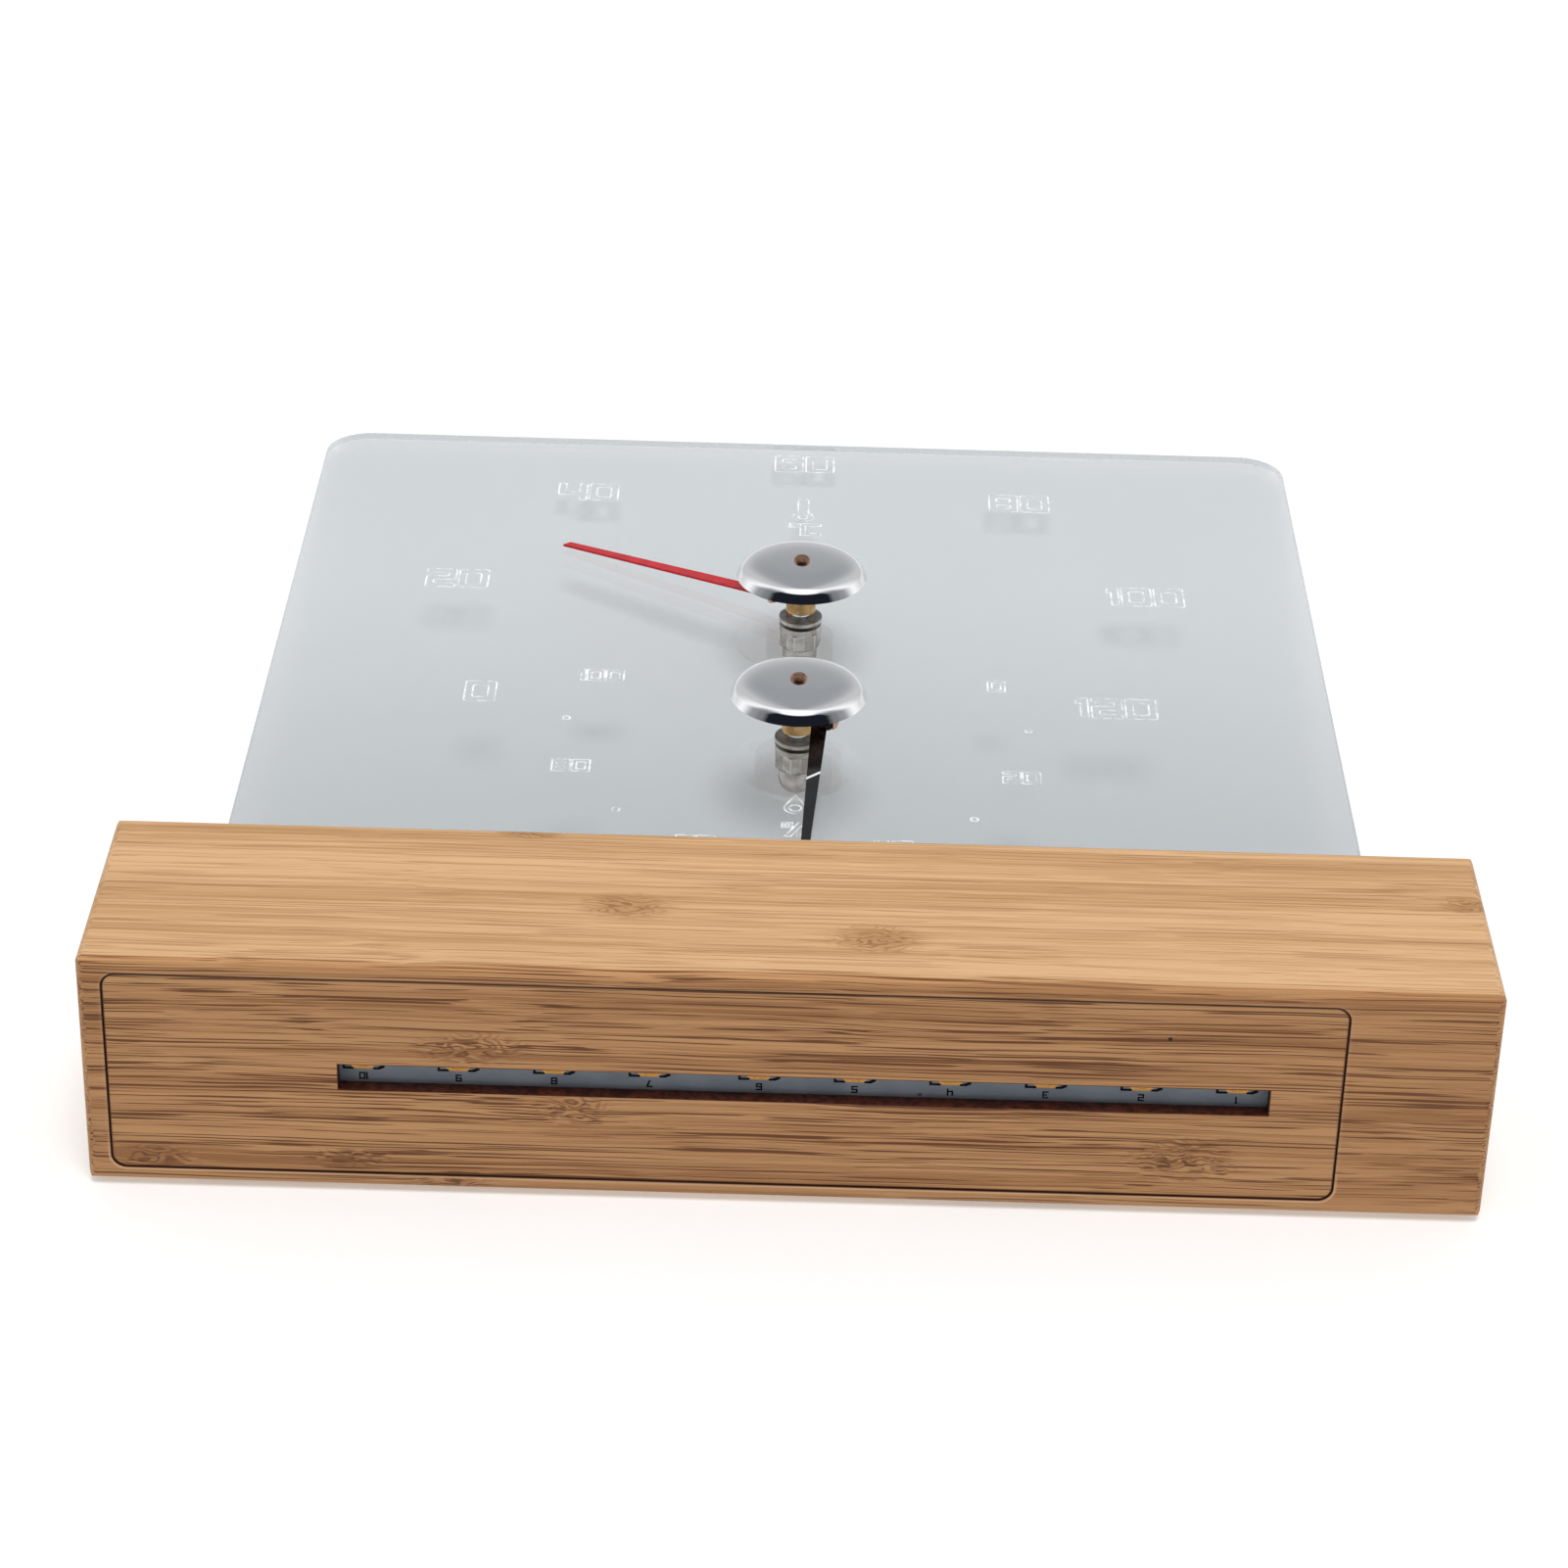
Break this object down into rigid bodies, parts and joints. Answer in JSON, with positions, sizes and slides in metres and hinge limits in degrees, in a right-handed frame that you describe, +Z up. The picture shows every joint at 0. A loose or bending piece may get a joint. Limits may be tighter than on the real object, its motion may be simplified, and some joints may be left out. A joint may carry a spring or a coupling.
{
  "type": "sauna thermometer hygrometer",
  "caption": "Wall instrument for a sauna: a hollow bamboo bar with downward lamps holds an upright clear plate that carries a bimetal thermometer above a strip hygrometer.",
  "frame": {"origin": "middle of the bamboo bar's footprint, on the flat bottom face that the instrument stands on", "axes": "+Z up, front (pointers) towards -Y, back (wall) towards +Y, +X to the right as seen from the front"},
  "size_m": [0.25, 0.047, 0.266],
  "materials": {
    "bamboo": "oiled bamboo, fine straight grain",
    "bamboo_cover": "oiled bamboo, fine straight grain",
    "board": "white solder mask",
    "lamp": "amber lamp window in a pale body",
    "chip": "black chip",
    "terminal": "white moulded",
    "screw_steel": "zinc plated",
    "hanger_steel": "pressed steel, zinc plated",
    "rubber": "matt black rubber",
    "clear_acrylic": "clear cast acrylic, polished edges",
    "nut_steel": "nickel plated steel",
    "brass": "turned brass",
    "copper_shaft": "riveted copper-coloured shaft end",
    "red_paint": "gloss red paint",
    "black_paint": "gloss black paint",
    "bimetal": "bare bimetal strip",
    "humidity_strip": "coppered strip with a moisture-sensitive facing",
    "dome_chrome": "mirror polished"
  },
  "bodies": {
    "instrument": {"bamboo_bar": "bamboo", "bottom_cover": "bamboo_cover", "led_board": "board", "leds": "lamp", "board_resistors": "chip", "wire_terminal": "terminal", "board_screws": "screw_steel", "cable_grommet": "rubber", "acrylic_plate": "clear_acrylic", "plate_screws": "screw_steel", "hanger_plates": "hanger_steel", "hanger_screws": "screw_steel", "thermo_stud": "nut_steel", "thermo_collar": "brass", "thermo_shaft": "copper_shaft", "thermo_arbor": "brass", "thermo_dome": "dome_chrome", "thermo_washer": "nut_steel", "thermo_seal": "rubber", "thermo_lock_washer": "nut_steel", "thermo_cap_nut": "nut_steel", "hygro_stud": "nut_steel", "hygro_collar": "brass", "hygro_shaft": "copper_shaft", "hygro_arbor": "brass", "hygro_dome": "dome_chrome", "hygro_washer": "nut_steel", "hygro_seal": "rubber", "hygro_lock_washer": "nut_steel", "hygro_cap_nut": "nut_steel"},
    "thermo_hand": {"thermo_pointer": "red_paint", "thermo_bush": "brass", "thermo_coil": "bimetal"},
    "hygro_hand": {"hygro_pointer": "black_paint", "hygro_bush": "brass", "hygro_coil": "humidity_strip"}
  },
  "joints": [
    {"name": "thermo_reading", "type": "hinge", "parent": "instrument", "child": "thermo_hand", "pos_m": [0, -0.0062, 0.1825], "axis": [0, 1, 0], "range_deg": [-57, 183], "stiffness_Nm_per_rad": 0.012, "deforming": ["thermo_coil"]},
    {"name": "hygro_reading", "type": "hinge", "parent": "instrument", "child": "hygro_hand", "pos_m": [0, -0.0062, 0.129], "axis": [0, 1, 0], "range_deg": [-117.5, 122.5], "stiffness_Nm_per_rad": 0.012, "deforming": ["hygro_coil"]}
  ]
}
